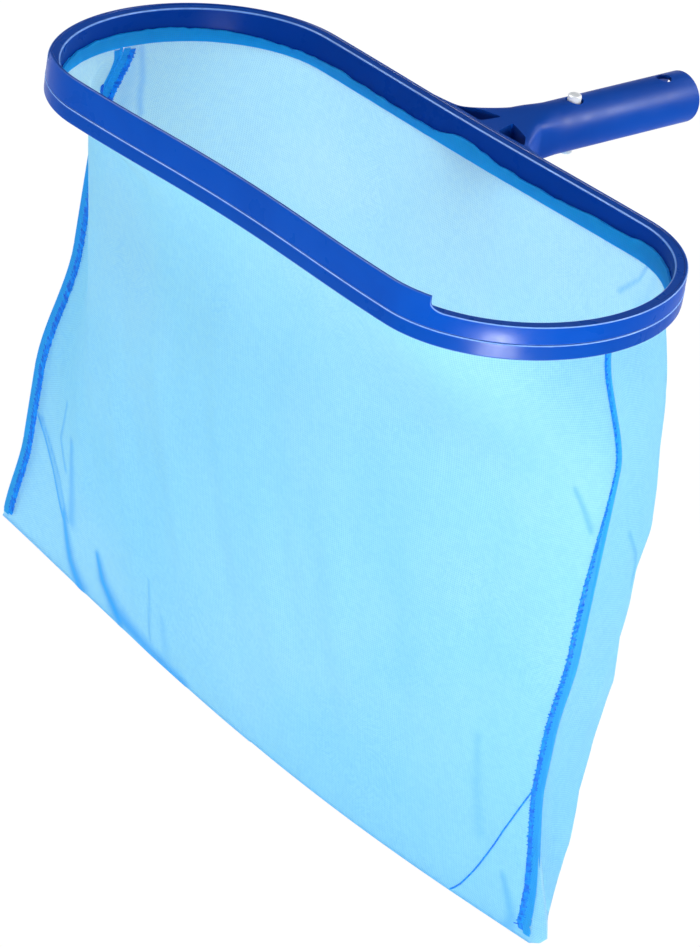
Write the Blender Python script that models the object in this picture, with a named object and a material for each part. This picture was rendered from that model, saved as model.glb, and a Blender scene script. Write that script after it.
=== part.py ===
"""Leaf skimmer net: a moulded oval frame with a scraper lip, a handle socket with a spring clip,
and a deep mesh bag held between the frame and its snap-on clamp ring.

Metres, +Z up. The origin is the centre of the handle's open end. The handle runs towards -Y, the
frame lies in a horizontal plane and the bag hangs down along -Z.
"""
import math

import bmesh
import bpy
import numpy as np
from mathutils import Matrix, Vector

GAP = 0.0003                      # air between two pieces that touch

# Handle
TUBE_RADIUS = 0.015
TUBE_BORE_RADIUS = 0.0126
BORE_DEPTH = 0.131
CLIP_HOLE_RADIUS = 0.0053
CLIP_HOLE_Y = (-0.0184, -0.0897)  # outer pair and the pair that the clip sits in
TUBE_SIDES = 48
ROOT_LENGTH = 0.050               # over which the flat web turns into the round tube
WEB_LENGTH = 0.028                # how far the web stands out past the tube's sides
WEB_FLARE = 0.018                 # half-width that the web adds at the ring
WEB_FILLET = 0.020                # and that its fillet against the ring adds
POCKET_DEPTH = 0.009

# Frame ring, seen from above
RING_CENTRE_Y = -0.2506
RIM_TOP_Z = 0.0113
SIDE_HALF_LENGTH = 0.130          # half of each long side
END_LENGTH = 0.079                # how far each rounded end reaches past the long sides
HALF_WIDTH = 0.0955
FRONT_BOW = 0.0042                # how far the middle of the front side is drawn in
BACK_BOW = 0.0016
END_STEPS = 20                    # stations round each end
SIDE_STEPS = 10                   # stations along each side

# Frame ring, in section
RING_HEIGHT = 0.0189
RIM_WIDTH = 0.0071
PARTING_DEPTH = 0.0099            # from the rim's top down to the parting line
WALL = 0.0021
EDGE = 0.0006                     # chamfer on the ring's edges

# Scraper lip on the front half of the upper frame
LIP_HEIGHT = 0.0077
LIP_THICKNESS = 0.0017
LIP_BEAD = 0.0004                 # what is left of the lip round the rest of the rim
LIP_END_X = (-0.1660, 0.1552)
LIP_FILLET = 0.0075

# Net
CLOTH = 0.0010                    # thickness that the soft solids are given
HEM_DROP = 0.0196                 # depth of the hem's lower edge under the rim's top
NET_INSET = 0.0073                # middle of the cloth, in from the frame's outer face
NET_COLUMNS = 34
NET_ROWS = 13
NET_EDGE_HALF_GAP = 0.0016        # half the distance between the two layers along a side seam
BOTTOM_LEFT = (-0.2400, -0.012, -0.342)   # bottom corners, from the ring's centre and rim top
BOTTOM_RIGHT = (0.2350, -0.012, -0.369)
BOTTOM_SAG = 0.0155               # how far the bottom fold hangs under a straight line
# How each side seam swings out on its way down: (share of the whole swing, start, length).
LEFT_SWING = ((0.36, 0.00, 0.15), (0.44, 0.40, 0.28), (0.20, 0.82, 0.18))
RIGHT_SWING = ((0.70, 0.00, 0.18), (-0.14, 0.50, 0.15), (0.44, 0.72, 0.28))
SEAM_WIDTH = 0.0090
SEAM_THICKNESS = 0.0014

# Spring clip
STRIP_WIDTH = 0.0080
STRIP_THICKNESS = 0.0008
BOW_Y = -0.1250
BOW_RADIUS = 0.0040
LEG_TIP_Y = -0.0800
LEG_TIP_Z = 0.0104
BUTTON_RADIUS = 0.0039
BUTTON_TOP_Z = 0.0180


def smooth(t):
    """Eases from 0 to 1."""
    t = min(max(t, 0.0), 1.0)
    return t * t * (3 - 2 * t)


def clear_scene():
    for thing in list(bpy.data.objects):
        bpy.data.objects.remove(thing, do_unlink=True)


def material(name, colour, roughness, metallic=0.0):
    made = bpy.data.materials.new(name)
    made.use_nodes = True
    shader = made.node_tree.nodes["Principled BSDF"]
    shader.inputs["Base Color"].default_value = (*colour, 1.0)
    shader.inputs["Roughness"].default_value = roughness
    shader.inputs["Metallic"].default_value = metallic
    made.diffuse_color = (*colour, 1.0)
    return made


def new_object(name, mesh, surface=None):
    made = bpy.data.objects.new(name, mesh)
    bpy.context.scene.collection.objects.link(made)
    if surface is not None:
        mesh.materials.append(surface)
    return made


def finish_mesh(name, bm, surface, sharp_angle=35.0):
    """Turns a bmesh into a named object with outward faces and smooth shading."""
    bmesh.ops.recalc_face_normals(bm, faces=bm.faces[:])
    mesh = bpy.data.meshes.new(name)
    bm.to_mesh(mesh)
    bm.free()
    mesh.shade_smooth()
    mesh.set_sharp_from_angle(angle=math.radians(sharp_angle))
    return new_object(name, mesh, surface)


def grid_faces(bm, rows, close_rows=False, close_columns=False):
    """Quads between neighbouring rows of vertices."""
    row_count = len(rows)
    for i in range(row_count if close_rows else row_count - 1):
        here, there = rows[i], rows[(i + 1) % row_count]
        columns = len(here)
        for j in range(columns if close_columns else columns - 1):
            k = (j + 1) % columns
            bm.faces.new((here[j], here[k], there[k], there[j]))


def cut(target, cutter):
    """Cuts one object out of another and keeps the cutter as a hidden guide."""
    modifier = target.modifiers.new("cut_" + cutter.name, "BOOLEAN")
    modifier.operation = "DIFFERENCE"
    modifier.solver = "EXACT"
    modifier.object = cutter
    cutter.hide_render = True
    cutter.display_type = "WIRE"


# ---------------------------------------------------------------- frame ring

def side_point(x, sign):
    """A point on a long side: sign is +1 at the back and -1 at the front."""
    bow = BACK_BOW if sign > 0 else FRONT_BOW
    dip = bow * math.cos(math.pi * x / (2 * SIDE_HALF_LENGTH)) ** 2
    return (x, sign * (HALF_WIDTH - dip))


def end_point(angle, sign):
    """A point on a rounded end: angle runs from -90 at the front to 90 degrees at the back."""
    x = SIDE_HALF_LENGTH + END_LENGTH * math.cos(angle)
    return (sign * x, HALF_WIDTH * math.sin(angle))


def ring_path():
    """The outline of the ring from above, counter-clockwise from the front of the right end."""
    points = []
    for i in range(END_STEPS):
        points.append(end_point(math.pi * (i / END_STEPS - 0.5), 1))
    for i in range(SIDE_STEPS):
        points.append(side_point(SIDE_HALF_LENGTH * (1 - 2 * i / SIDE_STEPS), 1))
    for i in range(END_STEPS):
        points.append(end_point(math.pi * (0.5 - i / END_STEPS), -1))
    for i in range(SIDE_STEPS):
        points.append(side_point(SIDE_HALF_LENGTH * (2 * i / SIDE_STEPS - 1), -1))
    return [Vector(point) for point in points]


def inward_normals(path):
    normals = []
    for i, point in enumerate(path):
        along = path[(i + 1) % len(path)] - path[i - 1]
        along.normalize()
        normals.append(Vector((-along.y, along.x)))
    return normals


def lip_height(point):
    """Height of the scraper lip at a place on the outline, with a hollow fillet at each end."""
    if point.y > 0:
        return LIP_BEAD
    past_end = abs(point.x) - abs(LIP_END_X[0] if point.x < 0 else LIP_END_X[1])
    if past_end <= 0:
        return LIP_HEIGHT
    if past_end >= LIP_FILLET:
        return LIP_BEAD
    fall = 1 - math.sqrt(1 - (1 - past_end / LIP_FILLET) ** 2)
    return LIP_BEAD + 0.55 * (LIP_HEIGHT - LIP_BEAD) * fall


def lip_stations():
    """Extra stations on the front outline, close together where the lip ends."""
    steps = (-0.0001, 0.0, 0.0004, 0.0012, 0.0024, 0.0040, 0.0058, 0.0075)
    return [math.copysign(abs(end_x) + step, end_x) for step in steps for end_x in LIP_END_X]


def frame_stations():
    """The outline with the lip's own stations added in order."""
    path = ring_path()
    extra = []
    for x in lip_stations():
        angle = -math.acos((abs(x) - SIDE_HALF_LENGTH) / END_LENGTH)
        extra.append(Vector(end_point(angle, 1 if x > 0 else -1)))
    for point in extra:
        gaps = [(path[i] - point).length + (path[(i + 1) % len(path)] - point).length
                - (path[i] - path[(i + 1) % len(path)]).length for i in range(len(path))]
        place = gaps.index(min(gaps))
        near = min((path[place] - point).length, (path[(place + 1) % len(path)] - point).length)
        if near > 0.00005:
            path.insert(place + 1, point)
    return path


def sweep_ring(name, path, profile, surface):
    """Sweeps a closed section round the outline. profile(point) lists (inward, down) pairs."""
    bm = bmesh.new()
    rows = []
    for point, normal in zip(path, inward_normals(path)):
        row = []
        for inward, down in profile(point):
            place = point + normal * inward
            row.append(bm.verts.new((place.x, place.y + RING_CENTRE_Y, RIM_TOP_Z - down)))
        rows.append(row)
    grid_faces(bm, rows, close_rows=True, close_columns=True)
    return finish_mesh(name, bm, surface)


def make_upper_frame(surface):
    """An inverted channel with the scraper lip standing on the front of its outer wall."""
    inner_foot = PARTING_DEPTH - 0.0012

    def profile(point):
        lip = lip_height(point)
        return [
            (EDGE, PARTING_DEPTH - GAP / 2),
            (0.0, PARTING_DEPTH - GAP / 2 - EDGE),
            (0.0, 0.0003 - lip),
            (0.0003, -lip),
            (LIP_THICKNESS - 0.0003, -lip),
            (LIP_THICKNESS, 0.0001 - lip),
            (LIP_THICKNESS + 0.0002, 0.0),
            (RIM_WIDTH - EDGE, 0.0),
            (RIM_WIDTH, EDGE),
            (RIM_WIDTH, inner_foot),
            (RIM_WIDTH - WALL + 0.0001, inner_foot),
            (RIM_WIDTH - WALL - 0.0001, 0.0024),
            (WALL + 0.0004, 0.0024),
            (WALL + 0.0002, PARTING_DEPTH - GAP / 2),
        ]

    return sweep_ring("upper_frame", frame_stations(), profile, surface)


def make_lower_clamp_ring(surface):
    """The snap-on ring under the parting line, with a tongue that stands up in the channel."""
    shoulder = PARTING_DEPTH + GAP / 2
    tongue_top = 0.0056
    inner_face = 0.0064

    def profile(_point):
        return [
            (EDGE, shoulder),
            (0.0027, shoulder),
            (0.0028, tongue_top + 0.0004),
            (0.0032, tongue_top),
            (0.0039, tongue_top),
            (0.0043, tongue_top + 0.0004),
            (0.0044, shoulder + 0.0001),
            (inner_face, shoulder + 0.0001),
            (inner_face, RING_HEIGHT - EDGE),
            (inner_face - EDGE, RING_HEIGHT),
            (EDGE, RING_HEIGHT),
            (0.0, RING_HEIGHT - EDGE),
            (0.0, shoulder + EDGE),
        ]

    return sweep_ring("lower_clamp_ring", frame_stations(), profile, surface)


def make_net_hem(surface):
    """The doubled hem: nipped over the clamp ring's shoulder and down its inner face."""
    top = PARTING_DEPTH - 0.0012 + GAP
    shoulder = PARTING_DEPTH - GAP / 2

    def profile(_point):
        return [
            (0.0048, top),
            (0.0078, top),
            (0.0078, HEM_DROP - GAP),
            (0.0067, HEM_DROP - GAP),
            (0.0067, shoulder),
            (0.0048, shoulder),
        ]

    return sweep_ring("net_hem", frame_stations(), profile, surface)


def make_hem_cord(surface):
    """The cord sewn into the net's edge, locked in the channel above the tongue."""
    radius = 0.0011
    sides = 8

    def profile(_point):
        turn = 2 * math.pi / sides
        return [(0.0037 + radius * math.cos(turn * i), 0.0040 - radius * math.sin(turn * i))
                for i in range(sides)]

    return sweep_ring("hem_cord", frame_stations(), profile, surface)


# ---------------------------------------------------------------- handle

def handle_section(y):
    """Half width, half height, centre height and squareness of the handle at a distance y."""
    out = max(y - (RING_CENTRE_Y + HALF_WIDTH), 0.0)
    half_width = TUBE_RADIUS + WEB_FILLET * math.exp(-out / 0.0015)
    half_width += WEB_FLARE * max(1 - out / WEB_LENGTH, 0.0) ** 1.3
    ease = smooth(out / ROOT_LENGTH)
    half_height = (RING_HEIGHT / 2) * (1 - ease) + TUBE_RADIUS * ease
    centre_z = (RIM_TOP_Z - RING_HEIGHT / 2) * (1 - ease)
    squareness = 7.0 * (1 - ease) + 2.0 * ease
    return half_width, half_height, centre_z, squareness


def power_point(angle, half_width, half_height, squareness):
    """A point on a superellipse."""
    c, s = math.cos(angle), math.sin(angle)
    return (half_width * math.copysign(abs(c) ** (2 / squareness), c),
            half_height * math.copysign(abs(s) ** (2 / squareness), s))


def prism(name, outline, low, high):
    """A vertical prism over an outline in the XY plane."""
    bm = bmesh.new()
    bottom = [bm.verts.new((x, y, low)) for x, y in outline]
    top = [bm.verts.new((x, y, high)) for x, y in outline]
    grid_faces(bm, [bottom, top], close_columns=True)
    bm.faces.new(bottom)
    bm.faces.new(top)
    return finish_mesh(name, bm, None)


def cylinder(name, radius, start, end, sides, surface=None):
    """A closed cylinder between two points."""
    start, end = Vector(start), Vector(end)
    along = end - start
    bm = bmesh.new()
    turn = along.to_track_quat("Z", "Y").to_matrix().to_4x4()
    bmesh.ops.create_cone(bm, cap_ends=True, segments=sides, radius1=radius, radius2=radius,
                          depth=along.length, matrix=Matrix.Translation((start + end) / 2) @ turn)
    return finish_mesh(name, bm, surface)


def rounded_outline(corners, radius, steps=4):
    """A polygon's outline with each corner rounded off."""
    outline = []
    count = len(corners)
    for i, corner in enumerate(corners):
        here = Vector(corner)
        before = (Vector(corners[i - 1]) - here).normalized()
        after = (Vector(corners[(i + 1) % count]) - here).normalized()
        start, end = here + before * radius, here + after * radius
        for k in range(steps + 1):
            t = k / steps
            place = start * (1 - t) ** 2 + here * (2 * t * (1 - t)) + end * t ** 2
            outline.append((place.x, place.y))
    return outline


def make_handle(surface):
    """The socket tube, flaring into a web with two pockets that meets the ring's back wall."""
    start_y = RING_CENTRE_Y + HALF_WIDTH - 0.006
    flare_ys = [start_y + (ROOT_LENGTH + 0.006) * (i / 16) ** 1.4 for i in range(17)]
    stations = flare_ys + [-0.060, -0.0008, 0.0]
    bm = bmesh.new()
    rows = []
    for y in stations:
        half_width, half_height, centre_z, squareness = handle_section(y)
        shrink = 1.0 if y < 0 else (TUBE_RADIUS - 0.0006) / TUBE_RADIUS
        row = []
        for j in range(TUBE_SIDES):
            x, z = power_point(2 * math.pi * j / TUBE_SIDES, half_width * shrink,
                               half_height * shrink, squareness)
            row.append(bm.verts.new((x, y, centre_z + z)))
        rows.append(row)
    grid_faces(bm, rows, close_columns=True)
    bm.faces.new(rows[0])
    bm.faces.new(rows[-1])
    handle = finish_mesh("handle", bm, surface)

    outline = []
    for point, normal in zip(ring_path(), inward_normals(ring_path())):
        place = point - normal * GAP
        outline.append((place.x, place.y + RING_CENTRE_Y))
    cut(handle, prism("ring_clearance", outline, RIM_TOP_Z - 0.050, RIM_TOP_Z + 0.030))
    cut(handle, cylinder("bore_cutter", TUBE_BORE_RADIUS, (0, 0.010, 0), (0, -BORE_DEPTH, 0), 40))
    for number, y in enumerate(CLIP_HOLE_Y):
        name = "clip_hole_cutter_%d" % number
        cut(handle, cylinder(name, CLIP_HOLE_RADIUS, (0, y, -0.030), (0, y, 0.030), 24))

    back_y = RING_CENTRE_Y + HALF_WIDTH
    for side, label in ((-1, "left"), (1, "right")):
        corners = [(side * 0.0075, back_y - 0.0002), (side * 0.0285, back_y + 0.0005),
                   (side * 0.0208, back_y + 0.0090), (side * 0.0045, back_y + 0.0140)]
        if side < 0:
            corners.reverse()
        pocket = prism("pocket_cutter_" + label, rounded_outline(corners, 0.0022),
                       RIM_TOP_Z - POCKET_DEPTH, RIM_TOP_Z + 0.010)
        cut(handle, pocket)
    return handle


# ---------------------------------------------------------------- spring clip

def strip(name, centre_line, surface):
    """A flat spring strip, bent along a line in the YZ plane."""
    bm = bmesh.new()
    rows = []
    for i, point in enumerate(centre_line):
        before = centre_line[max(i - 1, 0)]
        after = centre_line[min(i + 1, len(centre_line) - 1)]
        along = (Vector(after) - Vector(before)).normalized()
        out = Vector((-along.y, along.x)) * (STRIP_THICKNESS / 2)
        row = []
        for x, sign in ((-1, 1), (1, 1), (1, -1), (-1, -1)):
            place = Vector(point) + out * sign
            row.append(bm.verts.new((x * STRIP_WIDTH / 2, place.x, place.y)))
        rows.append(row)
    grid_faces(bm, rows, close_columns=True)
    bm.faces.new(rows[0])
    bm.faces.new(rows[-1])
    return finish_mesh(name, bm, surface)


def make_clip_bow(surface):
    """The fixed bend of the V-shaped clip, deep in the bore."""
    steps = 12
    line = []
    for i in range(steps + 1):
        angle = math.pi / 2 + math.pi * i / steps
        line.append((BOW_Y + BOW_RADIUS * math.cos(angle), BOW_RADIUS * math.sin(angle)))
    return strip("spring_clip_bow", line, surface)


def leg_height(y):
    """Height of the upper leg's centre line at a distance y."""
    start_y = BOW_Y + GAP
    return BOW_RADIUS + (LEG_TIP_Z - BOW_RADIUS) * (y - start_y) / (LEG_TIP_Y - start_y)


def make_clip_leg(name, side, surface):
    """One straight leg: side is +1 for the upper and -1 for the lower leg."""
    steps = 6
    line = []
    for i in range(steps + 1):
        y = BOW_Y + GAP + (LEG_TIP_Y - BOW_Y - GAP) * i / steps
        line.append((y, side * leg_height(y)))
    curl = (LEG_TIP_Y + 0.0030, side * (LEG_TIP_Z - 0.0012))
    line.append(curl)
    hinge = bpy.data.objects.new(name + "_hinge", None)
    bpy.context.scene.collection.objects.link(hinge)
    hinge.location = (0, BOW_Y, side * BOW_RADIUS)
    leg = strip(name, line, surface)
    leg.parent = hinge
    leg.matrix_parent_inverse = Matrix.Translation(-hinge.location)
    return leg


def make_button(name, side, leg, surface):
    """A domed snap button standing on a leg and out through the handle's wall."""
    button_y = CLIP_HOLE_Y[1]
    slope = math.atan2(LEG_TIP_Z - BOW_RADIUS, LEG_TIP_Y - BOW_Y - GAP)
    foot = leg_height(button_y) + STRIP_THICKNESS / 2 / math.cos(slope) + 2 * GAP
    foot += BUTTON_RADIUS * math.tan(slope)
    dome = 0.0014
    profile = [(BUTTON_RADIUS, foot), (BUTTON_RADIUS, BUTTON_TOP_Z - dome)]
    for i in range(1, 5):
        angle = math.pi / 2 * i / 5
        profile.append((BUTTON_RADIUS - 0.0016 * (1 - math.cos(angle)),
                        BUTTON_TOP_Z - dome + dome * math.sin(angle)))
    sides = 20
    bm = bmesh.new()
    rows = []
    for radius, z in profile:
        turn = 2 * math.pi / sides
        rows.append([bm.verts.new((radius * math.cos(turn * j),
                                   button_y + radius * math.sin(turn * j), side * z))
                     for j in range(sides)])
    grid_faces(bm, rows, close_columns=True)
    bm.faces.new(rows[0])
    bm.faces.new(rows[-1])
    button = finish_mesh(name, bm, surface)
    button.parent = leg.parent
    button.matrix_parent_inverse = Matrix.Translation(-leg.parent.location)
    return button


# ---------------------------------------------------------------- net bag

def half_outline(sign):
    """The cloth's own outline at the frame, from the left end to the right end: sign is -1 for
    the front and +1 for the back. Returns a function of the share of its length."""
    steps = 240
    outline = []
    for i in range(steps + 1):
        angle = math.pi * (1 - i / steps)
        reach = math.cos(angle)
        end_share = 0.5
        if abs(reach) > end_share:
            past = (abs(reach) - end_share) / (1 - end_share)
            x = SIDE_HALF_LENGTH + (END_LENGTH - NET_INSET) * math.sin(past * math.pi / 2)
            y = (HALF_WIDTH - NET_INSET) * math.cos(past * math.pi / 2)
            outline.append((math.copysign(x, reach), sign * y))
        else:
            x, y = side_point(SIDE_HALF_LENGTH * reach / end_share, sign)
            outline.append((x, y - sign * NET_INSET))
    points = np.array(outline)
    lengths = np.concatenate(([0], np.cumsum(np.hypot(*np.diff(points, axis=0).T))))
    lengths /= lengths[-1]
    return lambda share: (np.interp(share, lengths, points[:, 0]),
                          np.interp(share, lengths, points[:, 1]))


def swing(parts, drop):
    """Share of a seam's whole swing that it has made at a drop."""
    return sum(amount * smooth((drop - start) / length) for amount, start, length in parts)


def net_point(outline, sign, share, drop):
    """A point of the bag's middle surface from the ring's centre. share runs from the left seam
    at 0 to the right seam at 1, and drop from the hem at 0 to the bottom fold at 1."""
    top_x, top_y = outline(share)
    bottom = Vector(BOTTOM_LEFT).lerp(Vector(BOTTOM_RIGHT), share)
    bottom.z -= BOTTOM_SAG * math.sin(math.pi * share ** 1.1)
    apex = SIDE_HALF_LENGTH + END_LENGTH - NET_INSET
    fullness = share ** 3
    if sign < 0:
        spread = drop
    else:
        ring_like = 0.50 + 0.38 * fullness
        spread = smooth((drop - ring_like) / (1 - ring_like))
    x = top_x + (bottom.x - top_x) * spread
    x += (1 - share) ** 3 * (BOTTOM_LEFT[0] + apex) * (swing(LEFT_SWING, drop) - spread)
    reach = 3.0 if sign < 0 else 1.7
    x += share ** reach * (BOTTOM_RIGHT[0] - apex) * (swing(RIGHT_SWING, drop) - spread)
    top_z = -HEM_DROP - GAP
    z = top_z + (bottom.z - top_z) * drop
    if sign < 0:
        lens = abs(outline(0.5)[1]) * 4 * share * (1 - share)
        flat = smooth(drop / (0.03 + 0.22 * smooth(share)))
        depth = (abs(top_y) * (1 - flat) + lens * flat) * (1 - drop) ** 0.9
    else:
        belly = 1 + 0.04 * smooth(drop / 0.08) * fullness
        full = abs(top_y) * (1 - 0.08 * smooth(drop)) * belly
        depth = full * max(1 - drop ** (5 + 19 * fullness), 0.0) ** 0.6
    depth = math.hypot(depth, NET_EDGE_HALF_GAP)
    return Vector((x, bottom.y * drop + sign * depth, z))


def make_net_bag(surface):
    """One cloth from the front of the hem down, round the bottom fold and up to the back."""
    front, back = half_outline(-1), half_outline(1)
    middle_rows = []
    drops = [(i / NET_ROWS) ** 1.3 for i in range(NET_ROWS + 1)]
    back_drops = [1 - (1 - i / NET_ROWS) ** 1.6 for i in range(NET_ROWS + 1)]
    edge = 0.0025
    shares = [edge + (1 - 2 * edge) * i / NET_COLUMNS for i in range(NET_COLUMNS + 1)]
    for drop in drops:
        middle_rows.append([net_point(front, -1, share, drop) for share in shares])
    for drop in reversed(back_drops):
        middle_rows.append([net_point(back, 1, share, drop) for share in shares])
    origin = Vector((0, RING_CENTRE_Y, RIM_TOP_Z))
    bm = bmesh.new()
    layers = []
    for side in (1, -1):
        rows = []
        for i, row in enumerate(middle_rows):
            above = middle_rows[max(i - 1, 0)]
            below = middle_rows[min(i + 1, len(middle_rows) - 1)]
            made = []
            for j, point in enumerate(row):
                along = row[min(j + 1, len(row) - 1)] - row[max(j - 1, 0)]
                down = below[j] - above[j]
                normal = along.cross(down).normalized()
                if i in (0, len(middle_rows) - 1):
                    normal.z = 0
                    normal.normalize()
                made.append(bm.verts.new(origin + point + normal * (side * CLOTH / 2)))
            rows.append(made)
        grid_faces(bm, rows)
        layers.append(rows)
    outer, inner = layers
    for j in range(len(shares) - 1):
        bm.faces.new((outer[0][j], outer[0][j + 1], inner[0][j + 1], inner[0][j]))
        bm.faces.new((outer[-1][j], outer[-1][j + 1], inner[-1][j + 1], inner[-1][j]))
    for i in range(len(middle_rows) - 1):
        bm.faces.new((outer[i][0], outer[i + 1][0], inner[i + 1][0], inner[i][0]))
        bm.faces.new((outer[i][-1], outer[i + 1][-1], inner[i + 1][-1], inner[i][-1]))
    return finish_mesh("net_bag", bm, surface)


def make_side_seam(name, side, surface):
    """The overlocked seam allowance, turned into the bag, from the hem nearly to the corner."""
    front = half_outline(-1)
    share = 0.0 if side < 0 else 1.0
    origin = Vector((0, RING_CENTRE_Y, RIM_TOP_Z))
    steps = 28
    lowest = 0.985
    bm = bmesh.new()
    rows = []
    for i in range(steps + 1):
        drop = lowest * i / steps
        point = net_point(front, -1, share, drop)
        point.y = BOTTOM_LEFT[1] * drop
        row = []
        for x, y in ((0, -1), (1, -1), (1, 1), (0, 1)):
            offset = Vector((-side * x * SEAM_WIDTH, y * SEAM_THICKNESS / 2, 0))
            row.append(bm.verts.new(origin + point + offset))
        rows.append(row)
    grid_faces(bm, rows, close_columns=True)
    bm.faces.new(rows[0])
    bm.faces.new(rows[-1])
    return finish_mesh(name, bm, surface)


def main():
    clear_scene()
    blue = material("blue_plastic", (0.012, 0.085, 0.47), 0.32)
    net_blue = material("net_mesh", (0.30, 0.72, 0.95), 0.75)
    hem_blue = material("hem_cloth", (0.03, 0.28, 0.72), 0.8)
    thread_blue = material("seam_thread", (0.01, 0.16, 0.80), 0.7)
    steel = material("spring_steel", (0.62, 0.63, 0.65), 0.3, 1.0)
    white = material("button_plastic", (0.86, 0.87, 0.88), 0.35)

    make_upper_frame(blue)
    make_lower_clamp_ring(blue)
    make_handle(blue)
    make_hem_cord(hem_blue)
    make_net_hem(hem_blue)
    make_net_bag(net_blue)
    make_side_seam("side_seam_left", -1, thread_blue)
    make_side_seam("side_seam_right", 1, thread_blue)
    make_clip_bow(steel)
    upper_leg = make_clip_leg("spring_clip_leg_upper", 1, steel)
    lower_leg = make_clip_leg("spring_clip_leg_lower", -1, steel)
    make_button("clip_button_upper", 1, upper_leg, white)
    make_button("clip_button_lower", -1, lower_leg, white)


main()
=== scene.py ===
"""Leaf skimmer net: the finished look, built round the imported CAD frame.

Metres, +Z up, in the CAD's own frame: the origin is the centre of the handle's open end, the
handle runs towards -Y, the frame lies flat and the bag hangs down along -Z.
"""
import math

import bmesh
import bpy
import numpy as np
from mathutils import Matrix, Vector, noise


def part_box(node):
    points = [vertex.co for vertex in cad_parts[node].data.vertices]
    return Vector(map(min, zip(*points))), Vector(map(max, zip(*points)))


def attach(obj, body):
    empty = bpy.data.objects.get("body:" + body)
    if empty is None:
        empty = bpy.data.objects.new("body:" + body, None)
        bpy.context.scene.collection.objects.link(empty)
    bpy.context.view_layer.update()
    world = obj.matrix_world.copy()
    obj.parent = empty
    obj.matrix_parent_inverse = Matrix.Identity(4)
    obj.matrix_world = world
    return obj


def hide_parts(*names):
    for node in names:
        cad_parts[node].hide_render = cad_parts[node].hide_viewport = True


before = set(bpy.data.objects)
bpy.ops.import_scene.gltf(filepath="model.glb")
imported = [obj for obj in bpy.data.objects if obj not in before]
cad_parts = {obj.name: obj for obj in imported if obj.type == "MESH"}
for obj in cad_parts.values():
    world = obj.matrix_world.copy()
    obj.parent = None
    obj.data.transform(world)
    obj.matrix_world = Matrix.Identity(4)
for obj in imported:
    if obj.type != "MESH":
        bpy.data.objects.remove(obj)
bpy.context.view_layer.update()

# ---- sizes, some of them from the frame

ring_low, ring_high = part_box("lower_clamp_ring")

GAP = 0.0003  # air between two pieces that touch
HALF_WIDTH = 0.0955
BACK_BOW = 0.0016  # how far the middle of the back side is drawn in
FRONT_BOW = 0.0042
RING_CENTRE_Y = ring_low[1] + HALF_WIDTH
LIP_HEIGHT = 0.0077  # scraper lip on the front half of the frame
RIM_TOP_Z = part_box("upper_frame")[1][2] - LIP_HEIGHT
RING_HEIGHT = RIM_TOP_Z - ring_low[2]
RING_HALF_LENGTH = (ring_high[0] - ring_low[0]) / 2
END_LENGTH = 0.079  # how far each rounded end reaches
SIDE_HALF_LENGTH = RING_HALF_LENGTH - END_LENGTH
ORIGIN = np.array((0.0, RING_CENTRE_Y, RIM_TOP_Z))

# Frame ring, in section: every figure is inward from the outer face or down from the rim's top
RIM_WIDTH = 0.0071
PARTING_DEPTH = 0.0099
WALL = 0.0021
ROOF = 0.0024  # thickness over the channel for the hem
INNER_WALL_FOOT = 0.0166  # the inner wall runs down past the parting line
CLAMP_INNER_FACE = 0.0047  # so the clamp ring stays outside it
GROOVE_PROUD = 0.00025  # how far the clamp ring's top edge stands out
LIP_THICKNESS = 0.0017
LIP_BEAD = 0.0004  # what is left of the lip round the rest of the rim
LIP_END_X = (-0.1660, 0.1552)
LIP_FILLET = 0.0075
LIP_FILLET_SHARE = 0.55  # how much of the lip's height its fillets take up
LIP_STATIONS = (-0.0001, 0.0, 0.0003, 0.0008, 0.0014, 0.0022, 0.0032, 0.0045, 0.0060, LIP_FILLET)
END_STEPS = 72
SIDE_STEPS = 48

# Handle
TUBE_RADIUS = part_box("handle")[1][2]  # the tube's axis is at height 0
TUBE_BORE_RADIUS = 0.0126
BORE_DEPTH = 0.131
CLIP_HOLES = ((-0.0184, 0.0046), (-0.0897, 0.0053))  # y and radius: empty pair, buttons' pair
ROOT_LENGTH = 0.050  # over which the flat web turns into the tube
WEB_LENGTH = 0.028
WEB_FLARE = 0.018
WEB_FILLET = 0.020
WEB_FILLET_REACH = 0.0015
WEB_SQUARENESS = 7.0  # the flat web's superellipse power; the round tube's is 2
POCKET_DEPTH = 0.0145
POCKET_ROUND = 0.0022
BUTTON_RADIUS = 0.0039

# Net, from the ring's centre and the rim's top
NET_INSET = 0.0073
HEM_DROP = RIM_TOP_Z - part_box("net_hem")[0][2]
NET_EDGE_HALF_GAP = 0.0008  # half the distance between the layers at a seam
BOTTOM_LEFT = np.array((-0.2400, -0.012, -0.342))
BOTTOM_RIGHT = np.array((0.2350, -0.012, -0.369))
BOTTOM_SAG = 0.0155
# How a seam swings out on its way down: (share of the whole swing, drop at its start, length).
LEFT_SWING = ((0.36, 0.00, 0.15), (0.44, 0.40, 0.28), (0.20, 0.82, 0.18))
RIGHT_SWING = ((0.70, 0.00, 0.18), (-0.14, 0.50, 0.15), (0.44, 0.72, 0.28))
NET_COLUMNS = 300
NET_ROWS = 220
CLOTH_WIDTH = 0.51  # the flat cloth, before it was folded and sewn
NET_EDGE_SHARE = 0.002  # the cloth stops this share of its width short of each seam
WEAVE_PITCH = 0.0013
WEAVE_WANDER = (0.004, 0.004, 0.0)  # how far the threads stray from straight
SEAM_STRIP_WIDTH = 0.0046  # doubled cloth between the seam and the overlock
OVERLOCK_WIDTH = 0.0042
STITCH_PITCH = 0.0019
THREAD_RADIUS = 0.00032
ROLLED_EDGE_RADIUS = 0.0011
STRIP_END = 0.990  # drops where a seam's strip and overlock end
OVERLOCK_END = 0.985
STITCHES_END = 0.974
CORNER_STITCH = ((0.986, 0.744), (0.863, 0.996))  # its ends, as (share, drop)
HEM_FACES = (0.0087, 0.0074)  # inner and outer face, in from the outer face

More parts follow.
